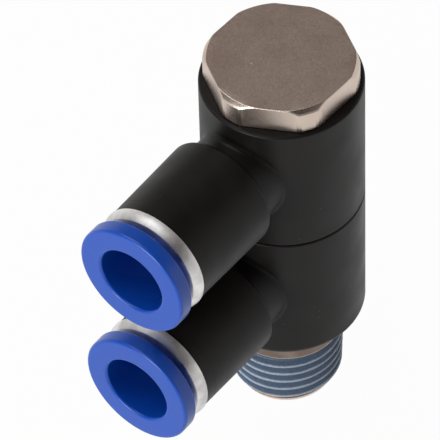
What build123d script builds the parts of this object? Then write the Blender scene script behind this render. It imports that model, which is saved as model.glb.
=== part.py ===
from build123d import *
import math
import os

os.makedirs("parts", exist_ok=True)

# A push-in manifold fitting: two plastic banjo bodies, one above the other, each with a
# push-in port for a plastic tube, swivelling on one hollow hex-head bolt with a taper thread.
# Millimetres. +Z is up along the bolt, z = 0 is the end of the thread, and the ports face -Y.

# Stack along the bolt, from the thread end up
thread_length = 8.4
collar_length = 3.7
lower_body_height = 18.6
upper_body_height = 17.6
head_height = 3.2
port_above_middle = 0.3

# Fits
swivel_gap = 0.05
slide_clearance = 0.05
snap_clearance = 0.1

# Taper thread for a quarter-inch pipe port, drawn as its crest cone
gauge_radius = 13.157 / 2
gauge_length = 6.0
taper_on_radius = 1 / 32
thread_depth = 0.856
collar_radius = 6.6

# Bolt
head_across_flats = 16.0
head_corner_reach = 8.65
head_top_radius = 8.25
head_chamfer_angle = 58.0
head_turn = 57.7
shank_radius = 6.85
flow_bore_radius = 3.5
flow_bore_above_port = 3.6
drill_point_angle = 118.0
flow_groove_depth = 0.95
flow_groove_width = 6.4
cross_hole_radius = 2.0
cross_hole_count = 4

# Swivel seals
seal_groove_depth = 1.35
seal_groove_width = 2.2
seal_width = 1.9
seal_from_end = 2.6
seal_corner = 0.55

# Retaining ring
retainer_thickness = 1.0
retainer_proud = 0.7
retainer_groove_depth = 0.7
retainer_gap_angle = 40.0
retainer_recess_depth = 1.3

# Swivel bodies
body_radius = 9.15
body_edge_radius = 0.3
lower_body_foot_radius = 1.0
neck_radius = 5.6
neck_fillet = 0.6
neck_length = 1.95
barrel_back_radius = 6.75
barrel_front_radius = 6.6
barrel_back_edge = 0.5
barrel_step_radius = 6.45
barrel_step_length = 1.6
flow_passage_radius = 2.5

# Tube line, out along the port
tube_radius = 8.0 / 2
tube_hole_clearance = 0.1
grip_clearance = 0.05
tube_stop_inset = 0.2
barrel_floor_length = 2.9
barrel_length = 12.2
cartridge_radius = 5.7
tube_seal_length = 2.0
tube_seal_corner = 0.5
spacer_length = 1.6
spacer_lip_length = 0.7
spacer_lip_clearance = 0.2
spacer_mouth_radius = 5.0
claw_thickness = 0.3
claw_ring_inner_radius = 4.95
claw_rake = 0.75
claw_count = 10
claw_slot_width = 0.7

# Guide sleeve
sleeve_flange_length = 1.3
sleeve_flange_radius = 6.7
sleeve_flange_edge = 0.3
sleeve_snap_length = 2.3
sleeve_snap_radius = 5.25

# Release button
button_stand_off = 1.05
button_flange_length = 1.9
button_flange_radius = 6.9
button_flange_edge = 0.35
button_back_edge = 0.2
button_wall = 0.75
button_bead_length = 1.3
button_nose_length = 0.7
button_lead_in = 0.35
button_slot_width = 0.8
button_slot_past_bead = 1.3
button_slot_count = 4

# Heights worked out from the stack
collar_bottom = thread_length
lower_body_bottom = collar_bottom + collar_length
joint_height = lower_body_bottom + lower_body_height
head_bottom = joint_height + upper_body_height
head_top = head_bottom + head_height
upper_port_height = (joint_height + head_bottom) / 2 + port_above_middle
lower_port_height = (lower_body_bottom + joint_height) / 2 + port_above_middle
retainer_seat = lower_body_bottom + retainer_recess_depth
seal_heights = {
    "upper_body_top_seal": head_bottom - seal_from_end,
    "upper_body_bottom_seal": joint_height + seal_from_end,
    "lower_body_top_seal": joint_height - seal_from_end,
    "lower_body_bottom_seal": retainer_seat + seal_from_end,
}

# Sizes worked out from the fits. Distances along a port run from the bolt's axis
swivel_bore_radius = shank_radius + slide_clearance
seal_groove_floor = shank_radius - seal_groove_depth
flow_groove_floor = shank_radius - flow_groove_depth
retainer_groove_floor = shank_radius - retainer_groove_depth
retainer_radius = shank_radius + retainer_proud
retainer_recess_radius = retainer_radius + snap_clearance
retainer_top = retainer_seat - swivel_gap
retainer_bottom = retainer_top - retainer_thickness
barrel_back = body_radius + neck_length
tube_stop = barrel_back - tube_stop_inset
cartridge_floor = barrel_back + barrel_floor_length
tube_hole_radius = tube_radius + tube_hole_clearance
grip_radius = tube_radius + grip_clearance
seal_end = cartridge_floor + tube_seal_length
spacer_end = seal_end + spacer_length
claw_end = spacer_end + claw_thickness
sleeve_flange_back = barrel_back + barrel_length
sleeve_front = sleeve_flange_back + sleeve_flange_length
sleeve_step = claw_end + sleeve_snap_length
button_flange_back = sleeve_front + button_stand_off
button_front = button_flange_back + button_flange_length
button_stem_radius = tube_hole_radius + button_wall
button_guide_radius = button_stem_radius + slide_clearance
button_bead_radius = sleeve_snap_radius - snap_clearance
button_bead_back = sleeve_step - button_bead_length
button_nose = button_bead_back - button_nose_length
button_slot_end = sleeve_step + button_slot_past_bead


def turned(*corners):
    """Solid of revolution about Z from (radius, height) corners."""
    outline = Polyline(*[(radius, 0, height) for radius, height in corners], close=True)
    return revolve(make_face(outline), Axis.Z, 360)


def rod(radius, low, high):
    """Cylinder about Z between two heights."""
    return Pos(0, 0, (low + high) / 2) * Cylinder(radius, high - low)


def ring(inner_radius, outer_radius, low, high):
    """Plain ring about Z between two heights."""
    return turned((inner_radius, low), (outer_radius, low), (outer_radius, high), (inner_radius, high))


def rims(body, *places):
    """Round edges of a turned body, picked by (radius, height)."""
    circles = body.edges().filter_by(GeomType.CIRCLE)
    found = []
    for radius, height in places:
        for edge in circles:
            if abs(edge.radius - radius) < 0.01 and abs(edge.arc_center.Z - height) < 0.01:
                found.append(edge)
    return found


def port_place(height):
    """Location that turns a part drawn along +Z into a port that faces -Y at a height."""
    return Plane(origin=(0, 0, height), x_dir=(1, 0, 0), z_dir=(0, -1, 0)).location


def soft_ring(inner_radius, outer_radius, low, high, corner):
    """Rubber ring with broken edges."""
    body = ring(inner_radius, outer_radius, low, high)
    return chamfer(body.edges(), corner)


def head_blank():
    """Hexagon whose corners are turned down, with a turned chamfer on top."""
    hexagon = RegularPolygon(head_across_flats / 2, 6, major_radius=False)
    first_corner = hexagon.vertices()[0]
    corner_angle = math.degrees(math.atan2(first_corner.Y, first_corner.X))
    turn = head_turn - 90 - corner_angle
    blank = Pos(0, 0, head_bottom) * extrude(Rot(0, 0, turn) * hexagon, head_height)
    chamfer_run = head_corner_reach - head_top_radius
    chamfer_drop = chamfer_run * math.tan(math.radians(head_chamfer_angle))
    turned_form = turned(
        (0, head_bottom),
        (head_corner_reach, head_bottom),
        (head_corner_reach, head_top - chamfer_drop),
        (head_top_radius, head_top),
        (0, head_top),
    )
    return blank & turned_form


def banjo_bolt():
    """Hex-head hollow bolt with a taper thread zone, seal grooves and cross holes."""
    small_end = gauge_radius - gauge_length * taper_on_radius
    large_end = small_end + thread_length * taper_on_radius
    root_radius = small_end - thread_depth
    chamfer_top = (small_end - root_radius) / (1 - taper_on_radius)
    chamfer_radius = small_end + chamfer_top * taper_on_radius
    bolt = turned(
        (0, 0),
        (root_radius, 0),
        (chamfer_radius, chamfer_top),
        (large_end, thread_length),
        (collar_radius, thread_length),
        (collar_radius, retainer_bottom),
        (retainer_groove_floor, retainer_bottom),
        (retainer_groove_floor, retainer_top),
        (shank_radius, retainer_top),
        (shank_radius, head_bottom),
        (0, head_bottom),
    )
    bolt += head_blank()
    for height in (lower_port_height, upper_port_height):
        half_flow = flow_groove_width / 2
        bolt -= ring(flow_groove_floor, shank_radius + 1, height - half_flow, height + half_flow)
    for middle in seal_heights.values():
        half_seal = seal_groove_width / 2
        bolt -= ring(seal_groove_floor, shank_radius + 1, middle - half_seal, middle + half_seal)
    bore_end = upper_port_height + flow_bore_above_port
    point_length = flow_bore_radius / math.tan(math.radians(drill_point_angle / 2))
    bolt -= turned((0, -1), (flow_bore_radius, -1), (flow_bore_radius, bore_end), (0, bore_end + point_length))
    for height in (lower_port_height, upper_port_height):
        for hole in range(cross_hole_count // 2):
            turn = 45 + hole * 360 / cross_hole_count
            drill = Rot(0, 0, turn) * Rot(0, 90, 0) * Cylinder(cross_hole_radius, 2 * shank_radius + 2)
            bolt -= Pos(0, 0, height) * drill
    return bolt


def bolt_seal(middle):
    """Rubber ring in its groove on the bolt."""
    outer_radius = swivel_bore_radius - slide_clearance / 2
    low = middle - seal_width / 2
    return soft_ring(seal_groove_floor, outer_radius, low, low + seal_width, seal_corner)


def retaining_ring():
    """Open snap ring that holds both bodies on the bolt."""
    body = ring(retainer_groove_floor, retainer_radius, retainer_bottom, retainer_top)
    reach = 2 * retainer_radius
    half_gap = math.radians(retainer_gap_angle / 2)
    opening = Polyline(
        (0, 0),
        (reach * math.sin(half_gap), reach * math.cos(half_gap)),
        (-reach * math.sin(half_gap), reach * math.cos(half_gap)),
        close=True,
    )
    body -= Pos(0, 0, retainer_bottom - 1) * extrude(make_face(opening), retainer_thickness + 2)
    return body


def barrel():
    """Outside of a port barrel, drawn along +Z from the bolt's axis."""
    step = sleeve_flange_back - barrel_step_length
    body = turned(
        (0, barrel_back),
        (barrel_back_radius, barrel_back),
        (barrel_front_radius, step),
        (barrel_step_radius, step),
        (barrel_step_radius, sleeve_flange_back),
        (0, sleeve_flange_back),
    )
    body = fillet(rims(body, (barrel_back_radius, barrel_back)), barrel_back_edge)
    body += rod(neck_radius, 0, barrel_back + 1)
    return fillet(rims(body, (neck_radius, barrel_back)), neck_fillet)


def swivel_body(low, high, port_height, foot_radius):
    """Plastic banjo body with a swivel bore and one port barrel."""
    stem = rod(body_radius, low, high)
    stem = fillet(rims(stem, (body_radius, high)), body_edge_radius)
    stem = fillet(rims(stem, (body_radius, low)), foot_radius)
    place = port_place(port_height)
    body = stem + place * barrel()
    neck_joint = body.edges().filter_by(GeomType.BSPLINE)
    body = fillet(neck_joint, neck_fillet)
    body -= rod(swivel_bore_radius, low - 1, high + 1)
    body -= place * rod(flow_passage_radius, 0, tube_stop + 1)
    body -= place * rod(tube_hole_radius, tube_stop, cartridge_floor + 1)
    body -= place * rod(cartridge_radius, cartridge_floor, sleeve_flange_back + 1)
    return body


def upper_body():
    """Upper banjo body, under the hex head."""
    low = joint_height
    high = head_bottom - swivel_gap
    return swivel_body(low, high, upper_port_height, body_edge_radius)


def lower_body():
    """Lower banjo body, with a recess for the retaining ring."""
    low = lower_body_bottom
    high = joint_height - swivel_gap
    body = swivel_body(low, high, lower_port_height, lower_body_foot_radius)
    return body - rod(retainer_recess_radius, low - 1, retainer_seat)


def tube_seal():
    """Rubber ring that seals on the tube, at the bottom of the barrel."""
    return soft_ring(grip_radius, cartridge_radius, cartridge_floor, seal_end, tube_seal_corner)


def spacer_ring():
    """Ring that backs the seal and leaves room for the claws."""
    lip_radius = tube_radius + spacer_lip_clearance
    lip_end = seal_end + spacer_lip_length
    return turned(
        (lip_radius, seal_end),
        (cartridge_radius, seal_end),
        (cartridge_radius, spacer_end),
        (spacer_mouth_radius, spacer_end),
        (spacer_mouth_radius, lip_end),
        (lip_radius, lip_end),
    )


def claw_ring():
    """Spring steel ring with raked claws that grip the tube."""
    body = turned(
        (cartridge_radius, spacer_end),
        (cartridge_radius, claw_end),
        (claw_ring_inner_radius, claw_end),
        (grip_radius, claw_end - claw_rake),
        (grip_radius, spacer_end - claw_rake),
        (claw_ring_inner_radius, spacer_end),
    )
    slot_height = claw_rake + 2 * claw_thickness
    slot = Box(claw_ring_inner_radius, claw_slot_width, slot_height)
    slot_middle = claw_end - slot_height / 2 + claw_thickness / 2
    for claw in range(claw_count):
        turn = claw * 360 / claw_count
        body -= Rot(0, 0, turn) * Pos(claw_ring_inner_radius / 2, 0, slot_middle) * slot
    return body


def guide_sleeve():
    """Plated brass sleeve pressed into the barrel, its flange closing the barrel's end."""
    body = turned(
        (sleeve_snap_radius, claw_end),
        (cartridge_radius, claw_end),
        (cartridge_radius, sleeve_flange_back),
        (sleeve_flange_radius, sleeve_flange_back),
        (sleeve_flange_radius, sleeve_front),
        (button_guide_radius, sleeve_front),
        (button_guide_radius, sleeve_step),
        (sleeve_snap_radius, sleeve_step),
    )
    return fillet(rims(body, (sleeve_flange_radius, sleeve_front)), sleeve_flange_edge)


def release_button():
    """Release button with a round flange and a slotted, beaded stem."""
    bead_height = button_bead_radius - button_stem_radius
    body = turned(
        (tube_hole_radius, button_nose),
        (button_stem_radius, button_nose),
        (button_stem_radius, button_bead_back),
        (button_bead_radius, button_bead_back + bead_height),
        (button_bead_radius, sleeve_step),
        (button_stem_radius, sleeve_step),
        (button_stem_radius, button_flange_back),
        (button_flange_radius, button_flange_back),
        (button_flange_radius, button_front),
        (tube_hole_radius, button_front),
    )
    body = fillet(rims(body, (button_flange_radius, button_front)), button_flange_edge)
    body = fillet(rims(body, (button_flange_radius, button_flange_back)), button_back_edge)
    body = fillet(rims(body, (tube_hole_radius, button_front)), button_lead_in)
    slot_length = button_slot_end - button_nose
    slot = Box(2 * button_bead_radius + 1, button_slot_width, slot_length)
    for cut in range(button_slot_count // 2):
        turn = 45 + cut * 360 / button_slot_count
        body -= Rot(0, 0, turn) * Pos(0, 0, button_nose + slot_length / 2) * slot
    return body


def save(name, shape):
    """Write one piece to its own file."""
    export_step(shape, os.path.join("parts", name + ".step"))


save("banjo_bolt", banjo_bolt())
save("retaining_ring", retaining_ring())
save("upper_body", upper_body())
save("lower_body", lower_body())

for name, seal_height in seal_heights.items():
    save(name, bolt_seal(seal_height))

for level, port_height in (("upper", upper_port_height), ("lower", lower_port_height)):
    place = port_place(port_height)
    save(level + "_tube_seal", place * tube_seal())
    save(level + "_spacer_ring", place * spacer_ring())
    save(level + "_claw_ring", place * claw_ring())
    save(level + "_guide_sleeve", place * guide_sleeve())
    save(level + "_release_button", place * release_button())
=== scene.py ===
import math

import bmesh
import bpy
from bpy.props import FloatProperty, FloatVectorProperty, IntProperty, PointerProperty
from mathutils import Matrix, Vector


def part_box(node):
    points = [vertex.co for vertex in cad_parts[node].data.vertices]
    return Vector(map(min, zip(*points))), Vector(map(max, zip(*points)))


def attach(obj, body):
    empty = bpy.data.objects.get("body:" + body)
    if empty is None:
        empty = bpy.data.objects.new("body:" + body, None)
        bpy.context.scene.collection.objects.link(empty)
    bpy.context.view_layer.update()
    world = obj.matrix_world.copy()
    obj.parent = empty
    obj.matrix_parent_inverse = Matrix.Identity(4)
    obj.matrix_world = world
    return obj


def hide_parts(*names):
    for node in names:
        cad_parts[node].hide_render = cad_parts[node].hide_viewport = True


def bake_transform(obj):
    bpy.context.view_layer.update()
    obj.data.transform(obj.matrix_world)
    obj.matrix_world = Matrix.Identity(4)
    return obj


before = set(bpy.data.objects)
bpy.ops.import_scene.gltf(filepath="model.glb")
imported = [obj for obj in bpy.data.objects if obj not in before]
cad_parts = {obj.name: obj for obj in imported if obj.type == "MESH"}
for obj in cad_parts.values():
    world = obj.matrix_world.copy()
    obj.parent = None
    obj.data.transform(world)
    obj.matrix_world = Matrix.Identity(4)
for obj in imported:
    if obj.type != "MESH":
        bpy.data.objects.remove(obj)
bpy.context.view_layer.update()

bl_info = {
    "name": "Push-in manifold fitting",
    "version": (1, 0, 0),
    "blender": (4, 5, 0),
    "location": "View3D > Sidebar > Fitting",
    "description": "Dresses a two-way push-in fitting: hollow bolt, swivel bodies, sleeves and buttons",
    "category": "Object",
}

BOLT_END, BOLT_TOP = (corner.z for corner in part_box("banjo_bolt"))
MILLIMETRE = 0.001
MERGE = 0.000002
SHARP = math.radians(36)
# A taper pipe thread widens by 1 in 16, so its radius grows by half of that
RADIUS_TAPER = 1 / 32
# Lean of each softbox to the front, right and up, its distance and width in metres, its power in watts
SOFTBOXES = {
    "softbox_high": ((-0.10, -0.35, 0.93), 0.8, 0.6, 2.7),
    "softbox_low": ((0.76, -0.62, 0.18), 1.2, 0.6, 10.5),
}
# Light of the room, from the horizon (0) to overhead (1)
ROOM_LEVELS = (
    (0.0, "#F4F2F0"),
    (0.25, "#F4F2F0"),
    (0.5, "#7C7472"),
    (0.75, "#706463"),
    (0.95, "#3A3432"),
)


def to_linear(code):
    """Scene-linear colour from an sRGB hex code such as #7F7F7F."""
    parts = [int(code[start:start + 2], 16) / 255 for start in (1, 3, 5)]
    return tuple(part / 12.92 if part <= 0.04045 else ((part + 0.055) / 1.055) ** 2.4 for part in parts)


def size(name, description, millimetres):
    """Length property whose default is given in millimetres."""
    return FloatProperty(
        name=name,
        description=description,
        default=millimetres * MILLIMETRE,
        min=0.0,
        precision=6,
        subtype="DISTANCE",
        unit="LENGTH",
    )


def tint(name, description, code):
    """Colour property whose default is given as an sRGB hex code."""
    return FloatVectorProperty(
        name=name,
        description=description,
        default=to_linear(code),
        min=0.0,
        max=1.0,
        size=3,
        subtype="COLOR",
    )


class FittingBoltSizes(bpy.types.PropertyGroup):
    """Sizes of the hollow hex-head bolt"""

    across_flats: size("Across flats", "Width of the hexagon from flat to flat", 16.0)
    head_height: size("Head height", "Height of the hex head", 3.2)
    corner_reach: size("Corner reach", "Radius to which the hexagon's corners are turned down", 8.63)
    chamfer_start: size("Chamfer start", "Radius on the top face where the turned chamfer begins", 8.2)
    chamfer_angle: FloatProperty(
        name="Chamfer angle",
        description="Fall of the turned chamfer from the top face",
        default=math.radians(49),
        subtype="ANGLE",
        unit="ROTATION",
    )
    edge_radius: size("Edge radius", "Width of the edges that tumbling has softened", 0.14)
    head_turn: FloatProperty(
        name="Head turn",
        description="Angle of one corner from the port side of the fitting",
        default=math.radians(56.9),
        subtype="ANGLE",
        unit="ROTATION",
    )
    thread_length: size("Thread length", "Length of the taper thread", 8.4)
    thread_pitch: size("Thread pitch", "Distance from one crest to the next", 1.337)
    thread_depth: size("Thread depth", "Height of the thread from root to crest", 0.856)
    thread_end_radius: size("Thread end radius", "Radius over the crests at the end face", 6.391)
    thread_phase: size("Thread phase", "Height of the first crest on the +X side", 0.487)
    end_chamfer_rise: size("End chamfer rise", "Height over which the end chamfer reaches the crests", 1.6)
    coat_start: size("Coat start", "Height at which the sealing coat begins", 1.25)
    collar_radius: size("Collar radius", "Radius of the plain collar above the thread", 6.6)
    bore_radius: size("Bore radius", "Radius of the flow bore", 3.5)
    collar_edge: size("Collar edge", "Width of the broken edge under the collar", 0.22)
    thread_steps: IntProperty(
        name="Steps per turn",
        description="Number of faces in one turn of the thread",
        default=96,
        min=24,
    )


class FittingPortSizes(bpy.types.PropertyGroup):
    """Sizes of the barrels and their guide sleeves"""

    flange_length: size("Flange length", "Length of the sleeve's flange", 1.3)
    flange_crown: size("Flange crown", "Fall of the flange's rolled rim towards the button", 0.42)
    mouth_length: size("Mouth length", "Length of the barrel's mouth, behind the sleeve", 1.6)
    mouth_radius: size("Mouth radius", "Radius of the barrel's mouth as turned down in the solid", 6.45)
    barrel_radius: size("Barrel radius", "Radius of the barrel next to its mouth", 6.59)


class FittingColours(bpy.types.PropertyGroup):
    """Colours of the finishes"""

    nickel: tint("Nickel", "Satin nickel plate on brass", "#D6C6B9")
    nickel_cloud: tint("Nickel clouding", "Warmer patches in the plate", "#CCBAAD")
    # The collar's darker plate is painted shade, standing for the shade under the lower body
    collar_shade_nickel: tint("Nickel in painted shade", "Plate on the collar, darkened as painted shade under the body", "#7A6A60")
    collar_shade_cloud: tint("Clouding in the shaded nickel", "Paler patches in the shaded collar plate", "#8C7E74")
    sleeve: tint("Sleeve nickel", "Bright nickel plate on the guide sleeves", "#F3F2F0")
    # The sleeves' greyer patches are painted reflections in the bright plate
    sleeve_reflection_patches: tint("Sleeve reflection patches", "Greyer patches painted in the bright plate as reflections", "#BEBDBE")
    coat: tint("Sealing coat", "Dry sealing coat on the thread", "#667A92")
    coat_crest: tint("Coat on the crests", "Paler sealing coat along the crests", "#B2BFD0")
    black: tint("Black plastic", "Glass-filled plastic of the bodies", "#131110")
    black_bloom: tint("Black plastic bloom", "Greyer patches in the moulded skin", "#1A1716")
    speck: tint("Specks", "Glass fibre ends and dust on the black plastic", "#3B3735")
    blue: tint("Blue plastic", "Release button", "#084CB8")
    blue_flow: tint("Blue plastic flow", "Flow shade in the release button", "#0B52C0")
    white: tint("White plastic", "Spacer ring", "#E4E0D6")
    steel: tint("Spring steel", "Claw rings and retaining ring", "#C8C8C6")
    rubber: tint("Rubber", "Seals", "#171717")


class FittingStageSettings(bpy.types.PropertyGroup):
    """Camera, light and floor"""

    camera_azimuth: FloatProperty(
        name="Camera azimuth",
        description="Turn of the camera from the port side",
        default=math.radians(38.2),
        subtype="ANGLE",
        unit="ROTATION",
    )
    camera_elevation: FloatProperty(
        name="Camera elevation",
        description="Height of the camera as an angle above the floor",
        default=math.radians(48.08),
        subtype="ANGLE",
        unit="ROTATION",
    )
    camera_roll: FloatProperty(
        name="Camera roll",
        description="Tilt of the camera about its own line of sight",
        default=math.radians(-1.79),
        subtype="ANGLE",
        unit="ROTATION",
    )
    camera_distance: size("Camera distance", "Distance from the camera to the point it looks at", 600.0)
    camera_reach: size("Target reach", "Distance from the bolt's axis to the point looked at", 7.2)
    camera_depth: size("Target depth", "Drop of the point looked at below the top of the bolt", 26.29)
    camera_lens: FloatProperty(
        name="Focal length",
        description="Focal length of the camera in millimetres",
        default=436.55,
        min=1.0,
    )
    floor_width: size("Floor width", "Side of the square floor", 6000.0)


def add_node(tree, kind, settings=None, links=None):
    """Add a node. Settings fill its sockets or its options, and links feed its sockets."""
    node = tree.nodes.new(kind)
    for key, value in (settings or {}).items():
        if isinstance(key, int) or key in node.inputs:
            node.inputs[key].default_value = value
        else:
            setattr(node, key, value)
    for key, socket in (links or {}).items():
        tree.links.new(socket, node.inputs[key])
    return node


def blank_material(name):
    """New material with a Principled shader, its tree and its object coordinates."""
    material = bpy.data.materials.get(name) or bpy.data.materials.new(name)
    material.use_nodes = True
    tree = material.node_tree
    tree.nodes.clear()
    shader = add_node(tree, "ShaderNodeBsdfPrincipled")
    add_node(tree, "ShaderNodeOutputMaterial", links={"Surface": shader.outputs["BSDF"]})
    place = add_node(tree, "ShaderNodeTexCoord").outputs["Object"]
    return material, tree, shader, place


def opaque(colour):
    """Four-part colour for a socket."""
    return tuple(colour) + (1.0,)


def nickel_finish(name, colour, cloud_colour, roughness, cloud_scale):
    """Nickel plate with cloudy patches, a fine grain and a few small pits."""
    material, tree, shader, place = blank_material(name)
    cloud = add_node(tree, "ShaderNodeTexNoise", {"Scale": cloud_scale, "Detail": 4.0}, {"Vector": place})
    patch = add_node(
        tree,
        "ShaderNodeMapRange",
        {"From Min": 0.42, "From Max": 0.7, "To Min": 0.0, "To Max": 1.0},
        {"Value": cloud.outputs[0]},
    )
    tone = add_node(
        tree,
        "ShaderNodeMix",
        {"data_type": "RGBA", 6: opaque(colour), 7: opaque(cloud_colour)},
        {0: patch.outputs[0]},
    )
    grain = add_node(tree, "ShaderNodeTexNoise", {"Scale": 5000.0, "Detail": 3.0}, {"Vector": place})
    rough = add_node(
        tree,
        "ShaderNodeMapRange",
        {"From Min": 0.3, "From Max": 0.7, "To Min": roughness - 0.04, "To Max": roughness + 0.04},
        {"Value": grain.outputs[0]},
    )
    cells = add_node(tree, "ShaderNodeTexVoronoi", {"Scale": 170.0}, {"Vector": place})
    pits = add_node(
        tree,
        "ShaderNodeMapRange",
        {"From Min": 0.01, "From Max": 0.04, "To Min": 0.0, "To Max": 1.0},
        {"Value": cells.outputs["Distance"]},
    )
    pit_bump = add_node(
        tree, "ShaderNodeBump", {"Strength": 0.5, "Distance": 0.00005}, {"Height": pits.outputs[0]}
    )
    bump = add_node(
        tree,
        "ShaderNodeBump",
        {"Strength": 0.5, "Distance": 0.000003},
        {"Height": grain.outputs[0], "Normal": pit_bump.outputs[0]},
    )
    shader.inputs["Metallic"].default_value = 1.0
    tree.links.new(tone.outputs[2], shader.inputs["Base Color"])
    tree.links.new(rough.outputs[0], shader.inputs["Roughness"])
    tree.links.new(bump.outputs[0], shader.inputs["Normal"])
    return material


def nickel_plate(colours):
    """Nickel plate on the tumbled brass bolt."""
    # Satin and warm, nearly even, with a soft sheen on the edges
    name = "Nickel-plated brass, tumbled"
    return nickel_finish(name, colours.nickel, colours.nickel_cloud, 0.34, 260.0)


def collar_nickel_in_painted_shade(colours):
    """Nickel plate of the collar, darkened to paint the shade under the lower body."""
    # Darker and browner than the head as painted shade for the collar under the lower body, and a little
    # rougher
    name = "Nickel-plated brass, darkened as painted shade"
    return nickel_finish(name, colours.collar_shade_nickel, colours.collar_shade_cloud, 0.4, 500.0)


def bright_nickel(colours):
    """Nickel plate on the turned guide sleeves."""
    # Brighter and cooler than the bolt, with greyer patches painted in as reflections
    name = "Nickel-plated brass, turned"
    return nickel_finish(name, colours.sleeve, colours.sleeve_reflection_patches, 0.5, 330.0)


def sealing_coat(colours, bolt):
    """Dry sealing coat on the taper thread."""
    # Matt and chalky blue-grey in the roots, paler along the crests
    material, tree, shader, place = blank_material("Thread sealing coat, dry blue-grey")
    across = add_node(
        tree, "ShaderNodeVectorMath", {"operation": "MULTIPLY", 1: (1.0, 1.0, 0.0)}, {0: place}
    )
    radius = add_node(tree, "ShaderNodeVectorMath", {"operation": "LENGTH"}, {0: across.outputs[0]})
    parts = add_node(tree, "ShaderNodeSeparateXYZ", links={0: place})
    crest_line = add_node(
        tree,
        "ShaderNodeMath",
        {"operation": "MULTIPLY_ADD", 1: RADIUS_TAPER, 2: bolt.thread_end_radius},
        {0: parts.outputs["Z"]},
    )
    sunk = add_node(
        tree,
        "ShaderNodeMath",
        {"operation": "SUBTRACT"},
        {0: crest_line.outputs[0], 1: radius.outputs["Value"]},
    )
    smear = add_node(tree, "ShaderNodeTexNoise", {"Scale": 900.0, "Detail": 4.0}, {"Vector": place})
    wander = add_node(
        tree,
        "ShaderNodeMath",
        {"operation": "MULTIPLY_ADD", 1: 0.00018, 2: -0.00009},
        {0: smear.outputs[0]},
    )
    depth = add_node(tree, "ShaderNodeMath", {"operation": "ADD"}, {0: sunk.outputs[0], 1: wander.outputs[0]})
    # Paler coat towards the crest line, the base coat in the roots
    near_crest = add_node(
        tree,
        "ShaderNodeMapRange",
        {
            "interpolation_type": "SMOOTHSTEP",
            "From Min": 0.00004,
            "From Max": 0.00018,
            "To Min": 1.0,
            "To Max": 0.0,
        },
        {"Value": depth.outputs[0]},
    )
    tone = add_node(
        tree,
        "ShaderNodeMix",
        {"data_type": "RGBA", 6: opaque(colours.coat), 7: opaque(colours.coat_crest)},
        {0: near_crest.outputs[0]},
    )
    grain = add_node(tree, "ShaderNodeTexNoise", {"Scale": 4500.0, "Detail": 4.0}, {"Vector": place})
    speckle = add_node(
        tree,
        "ShaderNodeMapRange",
        {"From Min": 0.3, "From Max": 0.7, "To Min": 0.82, "To Max": 1.15},
        {"Value": grain.outputs[0]},
    )
    chalk = add_node(
        tree,
        "ShaderNodeMix",
        {"data_type": "RGBA", "blend_type": "MULTIPLY", 0: 1.0},
        {6: tone.outputs[2], 7: speckle.outputs[0]},
    )
    bump = add_node(
        tree, "ShaderNodeBump", {"Strength": 0.6, "Distance": 0.00003}, {"Height": grain.outputs[0]}
    )
    shader.inputs["Roughness"].default_value = 0.6
    tree.links.new(chalk.outputs[2], shader.inputs["Base Color"])
    tree.links.new(bump.outputs[0], shader.inputs["Normal"])
    return material


def black_nylon(colours):
    """Glass-filled black plastic of the bodies."""
    # Matt moulded skin: a fine grain, and a wide slow wobble where the wall shrank as it cooled
    material, tree, shader, place = blank_material("Glass-filled nylon, matt black")
    bloom = add_node(tree, "ShaderNodeTexNoise", {"Scale": 220.0, "Detail": 5.0}, {"Vector": place})
    patch = add_node(
        tree,
        "ShaderNodeMapRange",
        {"From Min": 0.42, "From Max": 0.68, "To Min": 0.0, "To Max": 1.0},
        {"Value": bloom.outputs[0]},
    )
    tone = add_node(
        tree,
        "ShaderNodeMix",
        {"data_type": "RGBA", 6: opaque(colours.black), 7: opaque(colours.black_bloom)},
        {0: patch.outputs[0]},
    )
    cells = add_node(tree, "ShaderNodeTexVoronoi", {"Scale": 750.0}, {"Vector": place})
    near = add_node(
        tree, "ShaderNodeMath", {"operation": "LESS_THAN", 1: 0.07}, {0: cells.outputs["Distance"]}
    )
    chance = add_node(tree, "ShaderNodeSeparateXYZ", links={0: cells.outputs["Color"]})
    few = add_node(tree, "ShaderNodeMath", {"operation": "LESS_THAN", 1: 0.14}, {0: chance.outputs[0]})
    speck = add_node(
        tree, "ShaderNodeMath", {"operation": "MULTIPLY"}, {0: near.outputs[0], 1: few.outputs[0]}
    )
    specked = add_node(
        tree,
        "ShaderNodeMix",
        {"data_type": "RGBA", 7: opaque(colours.speck)},
        {0: speck.outputs[0], 6: tone.outputs[2]},
    )
    grain = add_node(tree, "ShaderNodeTexNoise", {"Scale": 6000.0, "Detail": 2.0}, {"Vector": place})
    wobble = add_node(tree, "ShaderNodeTexNoise", {"Scale": 160.0, "Detail": 1.0}, {"Vector": place})
    rough = add_node(
        tree,
        "ShaderNodeMapRange",
        {"From Min": 0.3, "From Max": 0.7, "To Min": 0.4, "To Max": 0.52},
        {"Value": bloom.outputs[0]},
    )
    sink = add_node(
        tree, "ShaderNodeBump", {"Strength": 0.5, "Distance": 0.0002}, {"Height": wobble.outputs[0]}
    )
    bump = add_node(
        tree,
        "ShaderNodeBump",
        {"Strength": 0.5, "Distance": 0.00001},
        {"Height": grain.outputs[0], "Normal": sink.outputs[0]},
    )
    shader.inputs["IOR"].default_value = 1.5
    shader.inputs["Specular IOR Level"].default_value = 0.22
    tree.links.new(specked.outputs[2], shader.inputs["Base Color"])
    tree.links.new(rough.outputs[0], shader.inputs["Roughness"])
    tree.links.new(bump.outputs[0], shader.inputs["Normal"])
    return material


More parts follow.
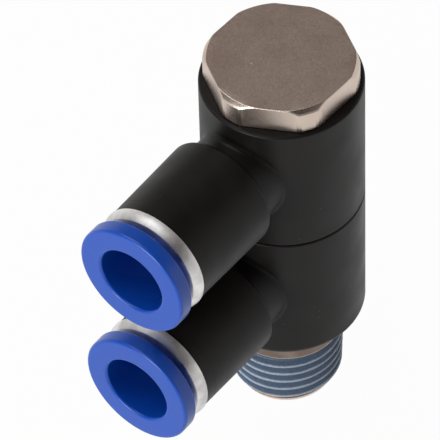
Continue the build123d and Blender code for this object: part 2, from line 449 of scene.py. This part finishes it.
def blue_acetal(colours):
    """Blue plastic of the release buttons."""
    # Smooth moulded acetal: even colour with a faint flow shade and a low, waxy gloss
    material, tree, shader, place = blank_material("Acetal, blue moulded")
    flow = add_node(
        tree, "ShaderNodeTexNoise", {"Scale": 260.0, "Detail": 3.0, "Distortion": 0.6}, {"Vector": place}
    )
    tone = add_node(
        tree,
        "ShaderNodeMix",
        {"data_type": "RGBA", 6: opaque(colours.blue), 7: opaque(colours.blue_flow)},
        {0: flow.outputs[0]},
    )
    grain = add_node(tree, "ShaderNodeTexNoise", {"Scale": 3500.0, "Detail": 2.0}, {"Vector": place})
    rough = add_node(
        tree,
        "ShaderNodeMapRange",
        {"From Min": 0.3, "From Max": 0.7, "To Min": 0.27, "To Max": 0.34},
        {"Value": flow.outputs[0]},
    )
    bump = add_node(
        tree, "ShaderNodeBump", {"Strength": 0.4, "Distance": 0.000008}, {"Height": grain.outputs[0]}
    )
    shader.inputs["IOR"].default_value = 1.5
    tree.links.new(tone.outputs[2], shader.inputs["Base Color"])
    tree.links.new(rough.outputs[0], shader.inputs["Roughness"])
    tree.links.new(bump.outputs[0], shader.inputs["Normal"])
    return material


def white_acetal(colours):
    """White plastic of the spacer rings."""
    # Smooth moulded acetal, slightly warm, with a faint cloud in it
    material, tree, shader, place = blank_material("Acetal, natural white")
    cloud = add_node(tree, "ShaderNodeTexNoise", {"Scale": 500.0, "Detail": 2.0}, {"Vector": place})
    shade = add_node(
        tree,
        "ShaderNodeMapRange",
        {"From Min": 0.3, "From Max": 0.7, "To Min": 0.9, "To Max": 1.0},
        {"Value": cloud.outputs[0]},
    )
    tone = add_node(
        tree,
        "ShaderNodeMix",
        {"data_type": "RGBA", "blend_type": "MULTIPLY", 0: 1.0, 6: opaque(colours.white)},
        {7: shade.outputs[0]},
    )
    shader.inputs["Roughness"].default_value = 0.4
    tree.links.new(tone.outputs[2], shader.inputs["Base Color"])
    return material


def spring_steel(colours):
    """Stamped spring steel of the claw rings and the retaining ring."""
    # Bright rolled strip with fine scratches along it
    material, tree, shader, place = blank_material("Spring steel, rolled strip")
    stretched = add_node(
        tree, "ShaderNodeMapping", {"Scale": (800.0, 9000.0, 9000.0)}, {"Vector": place}
    )
    scratch = add_node(
        tree, "ShaderNodeTexNoise", {"Scale": 1.0, "Detail": 3.0}, {"Vector": stretched.outputs[0]}
    )
    shade = add_node(
        tree,
        "ShaderNodeMapRange",
        {"From Min": 0.3, "From Max": 0.7, "To Min": 0.8, "To Max": 1.0},
        {"Value": scratch.outputs[0]},
    )
    tone = add_node(
        tree,
        "ShaderNodeMix",
        {"data_type": "RGBA", "blend_type": "MULTIPLY", 0: 1.0, 6: opaque(colours.steel)},
        {7: shade.outputs[0]},
    )
    bump = add_node(
        tree, "ShaderNodeBump", {"Strength": 0.3, "Distance": 0.000006}, {"Height": scratch.outputs[0]}
    )
    shader.inputs["Metallic"].default_value = 1.0
    shader.inputs["Roughness"].default_value = 0.3
    tree.links.new(tone.outputs[2], shader.inputs["Base Color"])
    tree.links.new(bump.outputs[0], shader.inputs["Normal"])
    return material


def nitrile_rubber(colours):
    """Black nitrile rubber of the seals."""
    # Dull black with a faint dusty bloom and a thin film of grease
    material, tree, shader, place = blank_material("Nitrile rubber, black")
    dust = add_node(tree, "ShaderNodeTexNoise", {"Scale": 1500.0, "Detail": 4.0}, {"Vector": place})
    shade = add_node(
        tree,
        "ShaderNodeMapRange",
        {"From Min": 0.35, "From Max": 0.7, "To Min": 0.8, "To Max": 1.6},
        {"Value": dust.outputs[0]},
    )
    tone = add_node(
        tree,
        "ShaderNodeMix",
        {"data_type": "RGBA", "blend_type": "MULTIPLY", 0: 1.0, 6: opaque(colours.rubber)},
        {7: shade.outputs[0]},
    )
    rough = add_node(
        tree,
        "ShaderNodeMapRange",
        {"From Min": 0.35, "From Max": 0.7, "To Min": 0.42, "To Max": 0.6},
        {"Value": dust.outputs[0]},
    )
    tree.links.new(tone.outputs[2], shader.inputs["Base Color"])
    tree.links.new(rough.outputs[0], shader.inputs["Roughness"])
    return material


def finish_piece(shape, name, body, materials, nodes=()):
    """Make a piece of a closed bmesh, smooth with sharp corners, riding on a body where one is named."""
    for face in shape.faces:
        face.smooth = True
    for edge in shape.edges:
        edge.smooth = len(edge.link_faces) == 2 and edge.calc_face_angle(0.0) < SHARP
    mesh = bpy.data.meshes.new(name)
    shape.to_mesh(mesh)
    shape.free()
    for material in materials:
        mesh.materials.append(material)
    piece = bpy.data.objects.new(name, mesh)
    bpy.context.scene.collection.objects.link(piece)
    normals = piece.modifiers.new("Weighted normals", "WEIGHTED_NORMAL")
    normals.keep_sharp = True
    if body:
        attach(piece, body)
    if nodes:
        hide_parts(*nodes)
    return piece


def copy_of(node):
    """Merged copy of a CAD node's mesh."""
    shape = bmesh.new()
    shape.from_mesh(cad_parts[node].data)
    bmesh.ops.remove_doubles(shape, verts=shape.verts, dist=MERGE)
    return shape


def smooth_copies(names, body_of, material):
    """Stand-ins for CAD nodes with the same shape and smooth shading."""
    for node in names:
        finish_piece(copy_of(node), node + "_smooth", body_of(node), [material], [node])


def banjo_of(node):
    """Body that a port piece rides on."""
    return "upper_banjo" if node.startswith("upper") else "lower_banjo"


def button_of(node):
    """Body that a release button rides on."""
    return "upper_button" if node.startswith("upper") else "lower_button"


def port_height(node):
    """Height of the port that a body or a sleeve belongs to."""
    low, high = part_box(node.split("_")[0] + "_release_button")
    return (low.z + high.z) / 2


def new_loop(shape, edges, place):
    """Extrude a closed loop and set each new vertex to the (radius, height) that place(angle) gives."""
    grown = bmesh.ops.extrude_edge_only(shape, edges=edges)["geom"]
    for vert in grown:
        if isinstance(vert, bmesh.types.BMVert):
            angle = math.atan2(vert.co.y, vert.co.x)
            radius, height = place(angle)
            vert.co = (radius * math.cos(angle), radius * math.sin(angle), height)
    return [edge for edge in grown if isinstance(edge, bmesh.types.BMEdge) and edge.is_boundary]


def cut_across(shape, place, normal, **clear):
    """Cut a shape along a plane and give the edges of the cut."""
    cut = bmesh.ops.bisect_plane(
        shape,
        geom=list(shape.verts) + list(shape.edges) + list(shape.faces),
        plane_co=place,
        plane_no=normal,
        **clear,
    )["geom_cut"]
    return [part for part in cut if isinstance(part, bmesh.types.BMEdge)]


def reach_in_port(vert, height):
    """Distance of a vertex from the middle line of the port at a height."""
    return math.hypot(vert.co.x, vert.co.z - height)


def set_reach_in_port(vert, height, wanted):
    """Move a vertex to a distance from the middle line of the port at a height."""
    reach = reach_in_port(vert, height)
    vert.co.x *= wanted / reach
    vert.co.z = height + (vert.co.z - height) * wanted / reach


class FITTING_OT_hex_head(bpy.types.Operator):
    """Build the hexagon of the bolt with its turned chamfer and softened edges"""

    bl_idname = "fitting.hex_head"
    bl_label = "Hex head"

    def execute(self, context):
        bolt = context.scene.fitting_bolt
        half_flats = bolt.across_flats / 2
        sixth = math.radians(60)
        first_corner = bolt.head_turn - math.pi / 2
        top = BOLT_TOP
        bottom = top - bolt.head_height
        soft = bolt.edge_radius
        bend = soft / 3
        fall = math.tan(bolt.chamfer_angle)

        def side(angle):
            """Radius of the head's side at an angle, with a softened edge where a turned corner starts."""
            turned = (angle - first_corner) % sixth
            off_corner = min(turned, sixth - turned)
            flat = half_flats / math.cos(sixth / 2 - off_corner)
            blend = soft / 2
            near = max(blend - abs(flat - bolt.corner_reach), 0.0)
            return min(flat, bolt.corner_reach) - near ** 2 / (4 * blend)

        def cap(radius):
            """Height of the top face or of the chamfer at a radius."""
            past = radius - bolt.chamfer_start
            if past <= -bend:
                return top
            if past >= bend:
                return top - past * fall
            return top - (past + bend) ** 2 / (4 * bend) * fall

        def on_side(inset, drop):
            """Loop on the side, drawn in by inset and lowered from the top edge by drop."""
            return lambda angle: (side(angle) - inset, cap(side(angle)) - drop)

        def on_cap(radius, inset):
            """Loop on the cap, at a radius or further in where the side leaves no room."""
            def place(angle):
                reach = min(radius, side(angle) - inset)
                return reach, cap(reach)
            return place

        turned_end = sixth / 2 - math.acos(half_flats / bolt.corner_reach)
        corner_parts = (0.0, 0.3, 0.6, 0.8)
        edge_degrees = (-0.9, -0.6, -0.4, -0.2, 0.0, 0.2, 0.4, 0.6, 0.9)
        flat_parts = (0.08, 0.15, 0.25, 0.32, 0.38, 0.5, 0.75, 1.0)
        half = [turned_end * part for part in corner_parts]
        half += [turned_end + math.radians(step) for step in edge_degrees]
        half += [turned_end + (sixth / 2 - turned_end) * part for part in flat_parts]
        sextant = half + [sixth - step for step in reversed(half[1:-1])]
        angles = [first_corner + sixth * turn + step for turn in range(6) for step in sextant]

        shape = bmesh.new()
        start = bmesh.ops.create_circle(shape, segments=len(angles), radius=1.0)["verts"]
        for vert, angle in zip(start, angles):
            radius = side(angle) - soft
            vert.co = (radius * math.cos(angle), radius * math.sin(angle), bottom)
        first = list(shape.edges)
        bmesh.ops.contextual_create(shape, geom=first)
        loop = new_loop(shape, first, lambda angle: (side(angle) - 0.3 * soft, bottom + 0.3 * soft))
        loop = new_loop(shape, loop, lambda angle: (side(angle), bottom + soft))
        for inset, drop in ((0.0, soft), (0.08 * soft, 0.6 * soft), (0.3 * soft, 0.3 * soft)):
            loop = new_loop(shape, loop, on_side(inset, drop))
        for inset in (0.62 * soft, soft):
            loop = new_loop(shape, loop, on_cap(math.inf, inset))
        for shift in (1.0, 0.5, 0.0, -0.5, -1.0):
            radius = bolt.chamfer_start + shift * bend
            inset = (1.2 + 0.1 * (1 - shift)) * soft
            loop = new_loop(shape, loop, on_cap(radius, inset))
        face_rings = (7.2, 5.0, 2.5)
        for radius in face_rings:
            loop = new_loop(shape, loop, on_cap(radius * MILLIMETRE, 0.0))
        bmesh.ops.contextual_create(shape, geom=loop)
        bmesh.ops.recalc_face_normals(shape, faces=shape.faces)
        nickel = nickel_plate(context.scene.fitting_colours)
        finish_piece(shape, "hex_head", "bolt", [nickel])
        return {"FINISHED"}


class FITTING_OT_bolt_shank(bpy.types.Operator):
    """Build the collar and the grooved, drilled shank between the thread and the head"""

    bl_idname = "fitting.bolt_shank"
    bl_label = "Bolt shank"

    def execute(self, context):
        bolt = context.scene.fitting_bolt
        collar = BOLT_END + bolt.thread_length
        under_head = BOLT_TOP - bolt.head_height
        margin = 0.1 * MILLIMETRE
        shape = copy_of("banjo_bolt")
        rim = cut_across(shape, (0, 0, under_head - margin), (0, 0, 1), clear_outer=True)
        bmesh.ops.contextual_create(shape, geom=rim)
        for vert in {vert for edge in rim for vert in edge.verts}:
            vert.co.z = under_head + margin
        rims = cut_across(shape, (0, 0, collar + 2 * margin), (0, 0, 1), clear_inner=True)
        bmesh.ops.bridge_loops(shape, edges=rims)
        for vert in {vert for edge in rims for vert in edge.verts}:
            vert.co.z = collar
        outer = [edge for edge in rims if edge.verts[0].co.xy.length > bolt.collar_radius - margin]
        broken = bmesh.ops.bevel(
            shape,
            geom=outer,
            offset=bolt.collar_edge,
            offset_type="OFFSET",
            affect="EDGES",
            segments=3,
            profile=0.5,
            material=-1,
        )
        for face in broken["faces"]:
            face.material_index = 1
        bmesh.ops.recalc_face_normals(shape, faces=shape.faces)
        colours = context.scene.fitting_colours
        # The collar's darker plate is painted shade under the lower body; its broken edge keeps the head's
        # plate
        materials = [collar_nickel_in_painted_shade(colours), nickel_plate(colours)]
        finish_piece(shape, "bolt_shank", "bolt", materials, ["banjo_bolt"])
        return {"FINISHED"}


class FITTING_OT_pipe_thread(bpy.types.Operator):
    """Cut the right-handed taper thread and give it its sealing coat"""

    bl_idname = "fitting.pipe_thread"
    bl_label = "Pipe thread"

    def execute(self, context):
        bolt = context.scene.fitting_bolt
        pitch = bolt.thread_pitch
        depth = bolt.thread_depth
        top = BOLT_END + bolt.thread_length
        root_end = bolt.thread_end_radius - depth
        end_slope = depth / bolt.end_chamfer_rise
        run_out_slope = 1.2
        run_out_lead = 0.35 * MILLIMETRE
        skin = 0.02 * MILLIMETRE
        # Rounded root to rounded crest, as shares of the pitch along and of the depth sunk
        root_to_crest = (
            (0.5, 1.0),
            (0.42, 0.955),
            (0.36, 0.84),
            (0.29, 0.62),
            (0.21, 0.38),
            (0.14, 0.16),
            (0.08, 0.045),
        )
        profile = [(-along, sunk) for along, sunk in root_to_crest] + [(0.0, 0.0)]
        profile += [(along, sunk) for along, sunk in reversed(root_to_crest)]
        turns_before = 2
        turns_after = 1
        turns = turns_before + math.ceil(bolt.thread_length / pitch) + turns_after
        start = bolt.thread_phase - turns_before * pitch

        shape = bmesh.new()
        verts = [
            shape.verts.new((bolt.thread_end_radius - sunk * depth, 0, start + along * pitch))
            for along, sunk in profile
        ]
        edges = [shape.edges.new(pair) for pair in zip(verts, verts[1:])]
        bmesh.ops.spin(
            shape,
            geom=verts + edges,
            cent=(0, 0, 0),
            axis=(0, 0, 1),
            dvec=(0, 0, pitch / bolt.thread_steps),
            angle=2 * math.pi * turns,
            steps=bolt.thread_steps * turns,
        )
        bmesh.ops.remove_doubles(shape, verts=shape.verts, dist=MERGE)
        for vert in shape.verts:
            radius = vert.co.xy.length
            height = vert.co.z - BOLT_END
            wanted = radius + height * RADIUS_TAPER
            end_chamfer = root_end + max(height, 0.0) * end_slope
            run_out = bolt.collar_radius - run_out_slope * (height - bolt.thread_length + run_out_lead)
            wanted = min(wanted, end_chamfer, run_out)
            vert.co.x *= wanted / radius
            vert.co.y *= wanted / radius
        low_rim = cut_across(shape, (0, 0, BOLT_END), (0, 0, 1), clear_inner=True)
        high_rim = cut_across(shape, (0, 0, top), (0, 0, 1), clear_outer=True)
        for face in shape.faces:
            middle = face.calc_center_median()
            chamfer = root_end + (middle.z - BOLT_END) * end_slope
            bare = middle.z < bolt.coat_start or middle.xy.length > chamfer - skin
            face.material_index = 1 if bare else 0
        bore = bolt.bore_radius
        edge = 0.25 * MILLIMETRE
        made = set(shape.faces)
        loop = new_loop(shape, low_rim, lambda angle: (bore + edge, BOLT_END))
        loop = new_loop(shape, loop, lambda angle: (bore, BOLT_END + edge))
        loop = new_loop(shape, loop, lambda angle: (bore, top))
        bmesh.ops.bridge_loops(shape, edges=loop + high_rim)
        for face in shape.faces:
            if face not in made:
                face.material_index = 1
        bmesh.ops.recalc_face_normals(shape, faces=shape.faces)
        colours = context.scene.fitting_colours
        materials = [sealing_coat(colours, bolt), nickel_plate(colours)]
        finish_piece(shape, "pipe_thread", "bolt", materials)
        return {"FINISHED"}


class FITTING_OT_swivel_bodies(bpy.types.Operator):
    """Dress the two black swivel bodies"""

    bl_idname = "fitting.swivel_bodies"
    bl_label = "Swivel bodies"

    def execute(self, context):
        port = context.scene.fitting_port
        black = black_nylon(context.scene.fitting_colours)
        margin = 0.03 * MILLIMETRE
        for node in ("upper_body", "lower_body"):
            shape = copy_of(node)
            height = port_height(node)
            mouth_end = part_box(node)[0].y + port.mouth_length + margin
            for vert in shape.verts:
                off_mouth = abs(reach_in_port(vert, height) - port.mouth_radius)
                if vert.co.y < mouth_end and off_mouth < margin:
                    set_reach_in_port(vert, height, port.barrel_radius)
            finish_piece(shape, node + "_smooth", banjo_of(node), [black], [node])
        return {"FINISHED"}


class FITTING_OT_guide_sleeves(bpy.types.Operator):
    """Dress the plated sleeves that close the barrels"""

    bl_idname = "fitting.guide_sleeves"
    bl_label = "Guide sleeves"

    def execute(self, context):
        port = context.scene.fitting_port
        nickel = bright_nickel(context.scene.fitting_colours)
        crown_cuts = (0.1, 0.25, 0.4, 0.55, 0.7, 0.85)
        for node in ("upper_guide_sleeve", "lower_guide_sleeve"):
            shape = copy_of(node)
            low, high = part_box(node)
            height = port_height(node)
            rim = (high.x - low.x) / 2
            for part in crown_cuts:
                cut_across(shape, (0, low.y + part * port.flange_length, 0), (0, 1, 0))
            for vert in shape.verts:
                past = (vert.co.y - low.y) / port.flange_length
                wanted = rim - port.flange_crown * max(1.0 - past, 0.0) ** 2
                if past < 1.0 and reach_in_port(vert, height) > wanted:
                    set_reach_in_port(vert, height, wanted)
            finish_piece(shape, node + "_smooth", banjo_of(node), [nickel], [node])
        return {"FINISHED"}


class FITTING_OT_release_buttons(bpy.types.Operator):
    """Dress the blue release buttons"""

    bl_idname = "fitting.release_buttons"
    bl_label = "Release buttons"

    def execute(self, context):
        blue = blue_acetal(context.scene.fitting_colours)
        names = ("upper_release_button", "lower_release_button")
        smooth_copies(names, button_of, blue)
        return {"FINISHED"}


class FITTING_OT_inner_parts(bpy.types.Operator):
    """Dress the claw rings, spacers, seals and the retaining ring"""

    bl_idname = "fitting.inner_parts"
    bl_label = "Inner parts"

    def execute(self, context):
        colours = context.scene.fitting_colours
        steel = spring_steel(colours)
        rubber = nitrile_rubber(colours)
        white = white_acetal(colours)
        # In the fitting the button pushes the claws' tips inwards and the rim stays in the barrel; here each
        # ring is copied as it stands, on no body, with its place baked in
        for node in ("upper_claw_ring", "lower_claw_ring"):
            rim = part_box(node)[0]
            rim.z = port_height(node)
            rim.x = 0.0
            claws = finish_piece(copy_of(node), node + "_smooth", None, [steel], [node])
            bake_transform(claws)
        smooth_copies(("upper_spacer_ring", "lower_spacer_ring"), banjo_of, white)
        smooth_copies(("upper_tube_seal", "lower_tube_seal"), banjo_of, rubber)
        smooth_copies(("retaining_ring",), lambda node: "bolt", steel)
        seals = [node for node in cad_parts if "_body_" in node]
        smooth_copies(sorted(seals), lambda node: "bolt", rubber)
        return {"FINISHED"}


class FITTING_OT_stage(bpy.types.Operator):
    """Set the floor, the light and the camera"""

    bl_idname = "fitting.stage"
    bl_label = "Stage"

    def execute(self, context):
        scene = context.scene
        stage = scene.fitting_stage
        self.floor(scene, stage)
        turn = stage.camera_azimuth
        rise = stage.camera_elevation
        right = Vector((math.cos(turn), math.sin(turn), 0))
        front = Vector((math.sin(turn), -math.cos(turn), 0))
        up = Vector((0, 0, 1))
        self.world(scene, 0.5 * right - front)
        for name, (lean, distance, width, watts) in SOFTBOXES.items():
            direction = lean[0] * front + lean[1] * right + lean[2] * up
            self.lamp(scene, name, direction, distance, width, watts)
        back = front * math.cos(rise) + up * math.sin(rise)
        above = up * math.cos(rise) - front * math.sin(rise)
        roll = stage.camera_roll
        side = right * math.cos(roll) + above * math.sin(roll)
        above = above * math.cos(roll) - right * math.sin(roll)
        target = Vector((-math.cos(turn), -math.sin(turn), 0)) * stage.camera_reach
        target.z = BOLT_TOP - stage.camera_depth
        lens = bpy.data.cameras.new("camera")
        lens.lens = stage.camera_lens
        lens.sensor_width = 36.0
        camera = bpy.data.objects.new("camera", lens)
        place = Matrix((side, above, back)).transposed().to_4x4()
        place.translation = target + back * stage.camera_distance
        camera.matrix_world = place
        scene.collection.objects.link(camera)
        scene.camera = camera
        scene.view_settings.view_transform = "Standard"
        return {"FINISHED"}

    def floor(self, scene, stage):
        """Pale floor that the camera sees nearly white, with the fitting's soft shadow."""
        # Matt white paint on a smooth board, shown nearly white to the camera and to reflections
        seen_share = 0.97
        mirrored_share = 0.85
        material, tree, shader = blank_material("Matt white paint")[:3]
        shader.inputs["Base Color"].default_value = opaque(to_linear("#EDECEA"))
        shader.inputs["Roughness"].default_value = 0.8
        shader.inputs["Specular IOR Level"].default_value = 0.2
        path = add_node(tree, "ShaderNodeLightPath")
        seen = add_node(
            tree,
            "ShaderNodeMath",
            {"operation": "MULTIPLY", 1: seen_share},
            {0: path.outputs["Is Camera Ray"]},
        )
        mirrored = add_node(
            tree,
            "ShaderNodeMath",
            {"operation": "MULTIPLY", 1: mirrored_share},
            {0: path.outputs["Is Glossy Ray"]},
        )
        glow = add_node(
            tree, "ShaderNodeMath", {"operation": "ADD"}, {0: seen.outputs[0], 1: mirrored.outputs[0]}
        )
        white = add_node(tree, "ShaderNodeEmission", {"Strength": 1.0})
        mix = add_node(
            tree, "ShaderNodeMixShader", links={0: glow.outputs[0], 1: shader.outputs[0], 2: white.outputs[0]}
        )
        output = [node for node in tree.nodes if node.bl_idname == "ShaderNodeOutputMaterial"][0]
        tree.links.new(mix.outputs[0], output.inputs["Surface"])
        shape = bmesh.new()
        bmesh.ops.create_grid(shape, x_segments=1, y_segments=1, size=stage.floor_width / 2)
        mesh = bpy.data.meshes.new("floor")
        shape.to_mesh(mesh)
        shape.free()
        mesh.materials.append(material)
        board = bpy.data.objects.new("floor", mesh)
        board.location.z = BOLT_END
        scene.collection.objects.link(board)

    def world(self, scene, behind):
        """Bright backdrop, dim ceiling and dark room in front, all seen white by the camera."""
        world = bpy.data.worlds.new("studio")
        world.use_nodes = True
        tree = world.node_tree
        tree.nodes.clear()
        place = add_node(tree, "ShaderNodeTexCoord").outputs["Generated"]
        parts = add_node(tree, "ShaderNodeSeparateXYZ", links={0: place})
        ramp = add_node(tree, "ShaderNodeValToRGB", links={0: parts.outputs["Z"]})
        heights, codes = zip(*ROOM_LEVELS)
        ramp.color_ramp.elements[0].position = heights[0]
        ramp.color_ramp.elements[1].position = heights[-1]
        for position in heights[1:-1]:
            ramp.color_ramp.elements.new(position)
        for element, code in zip(ramp.color_ramp.elements, codes):
            element.color = opaque(to_linear(code))
        facing = add_node(
            tree, "ShaderNodeVectorMath", {"operation": "DOT_PRODUCT", 1: behind.normalized()}, {0: place}
        )
        depth = add_node(
            tree,
            "ShaderNodeMapRange",
            {"From Min": -0.5, "From Max": 0.3, "To Min": 0.12, "To Max": 1.0},
            {"Value": facing.outputs["Value"]},
        )
        room = add_node(
            tree,
            "ShaderNodeMix",
            {"data_type": "RGBA", "blend_type": "MULTIPLY", 0: 1.0},
            {6: ramp.outputs[0], 7: depth.outputs[0]},
        )
        path = add_node(tree, "ShaderNodeLightPath")
        colour = add_node(
            tree,
            "ShaderNodeMix",
            {"data_type": "RGBA", 7: (1.0, 1.0, 1.0, 1.0)},
            {0: path.outputs["Is Camera Ray"], 6: room.outputs[2]},
        )
        background = add_node(tree, "ShaderNodeBackground", {"Strength": 1.0}, {0: colour.outputs[2]})
        add_node(tree, "ShaderNodeOutputWorld", links={0: background.outputs[0]})
        scene.world = world

    def lamp(self, scene, name, direction, distance, width, watts):
        """Square softbox that points at the middle of the fitting."""
        light = bpy.data.lights.new(name, "AREA")
        light.size = width
        light.energy = watts
        box = bpy.data.objects.new(name, light)
        middle = Vector((0, 0, (BOLT_END + BOLT_TOP) / 2))
        box.location = middle + direction.normalized() * distance
        box.rotation_euler = direction.to_track_quat("Z", "Y").to_euler()
        scene.collection.objects.link(box)


OPERATORS = (
    FITTING_OT_hex_head,
    FITTING_OT_bolt_shank,
    FITTING_OT_pipe_thread,
    FITTING_OT_swivel_bodies,
    FITTING_OT_guide_sleeves,
    FITTING_OT_release_buttons,
    FITTING_OT_inner_parts,
    FITTING_OT_stage,
)


class FITTING_PT_panel(bpy.types.Panel):
    """Sizes, colours and building steps of the fitting"""

    bl_idname = "FITTING_PT_panel"
    bl_label = "Push-in manifold fitting"
    bl_space_type = "VIEW_3D"
    bl_region_type = "UI"
    bl_category = "Fitting"

    def draw(self, context):
        for group in GROUPS:
            settings = getattr(context.scene, group)
            box = self.layout.box()
            for name in settings.bl_rna.properties.keys():
                if name not in ("rna_type", "name"):
                    box.prop(settings, name)
        for operator in OPERATORS:
            self.layout.operator(operator.bl_idname)


GROUPS = {
    "fitting_bolt": FittingBoltSizes,
    "fitting_port": FittingPortSizes,
    "fitting_colours": FittingColours,
    "fitting_stage": FittingStageSettings,
}


def register():
    for name, group in GROUPS.items():
        bpy.utils.register_class(group)
        setattr(bpy.types.Scene, name, PointerProperty(type=group))
    for part in OPERATORS + (FITTING_PT_panel,):
        bpy.utils.register_class(part)


def unregister():
    for part in (FITTING_PT_panel,) + OPERATORS[::-1]:
        bpy.utils.unregister_class(part)
    for name, group in GROUPS.items():
        delattr(bpy.types.Scene, name)
        bpy.utils.unregister_class(group)


def main():
    """Build every piece in order."""
    register()
    bpy.ops.fitting.hex_head()
    bpy.ops.fitting.bolt_shank()
    bpy.ops.fitting.pipe_thread()
    bpy.ops.fitting.swivel_bodies()
    bpy.ops.fitting.guide_sleeves()
    bpy.ops.fitting.release_buttons()
    bpy.ops.fitting.inner_parts()
    bpy.ops.fitting.stage()


if __name__ == "__main__":
    main()
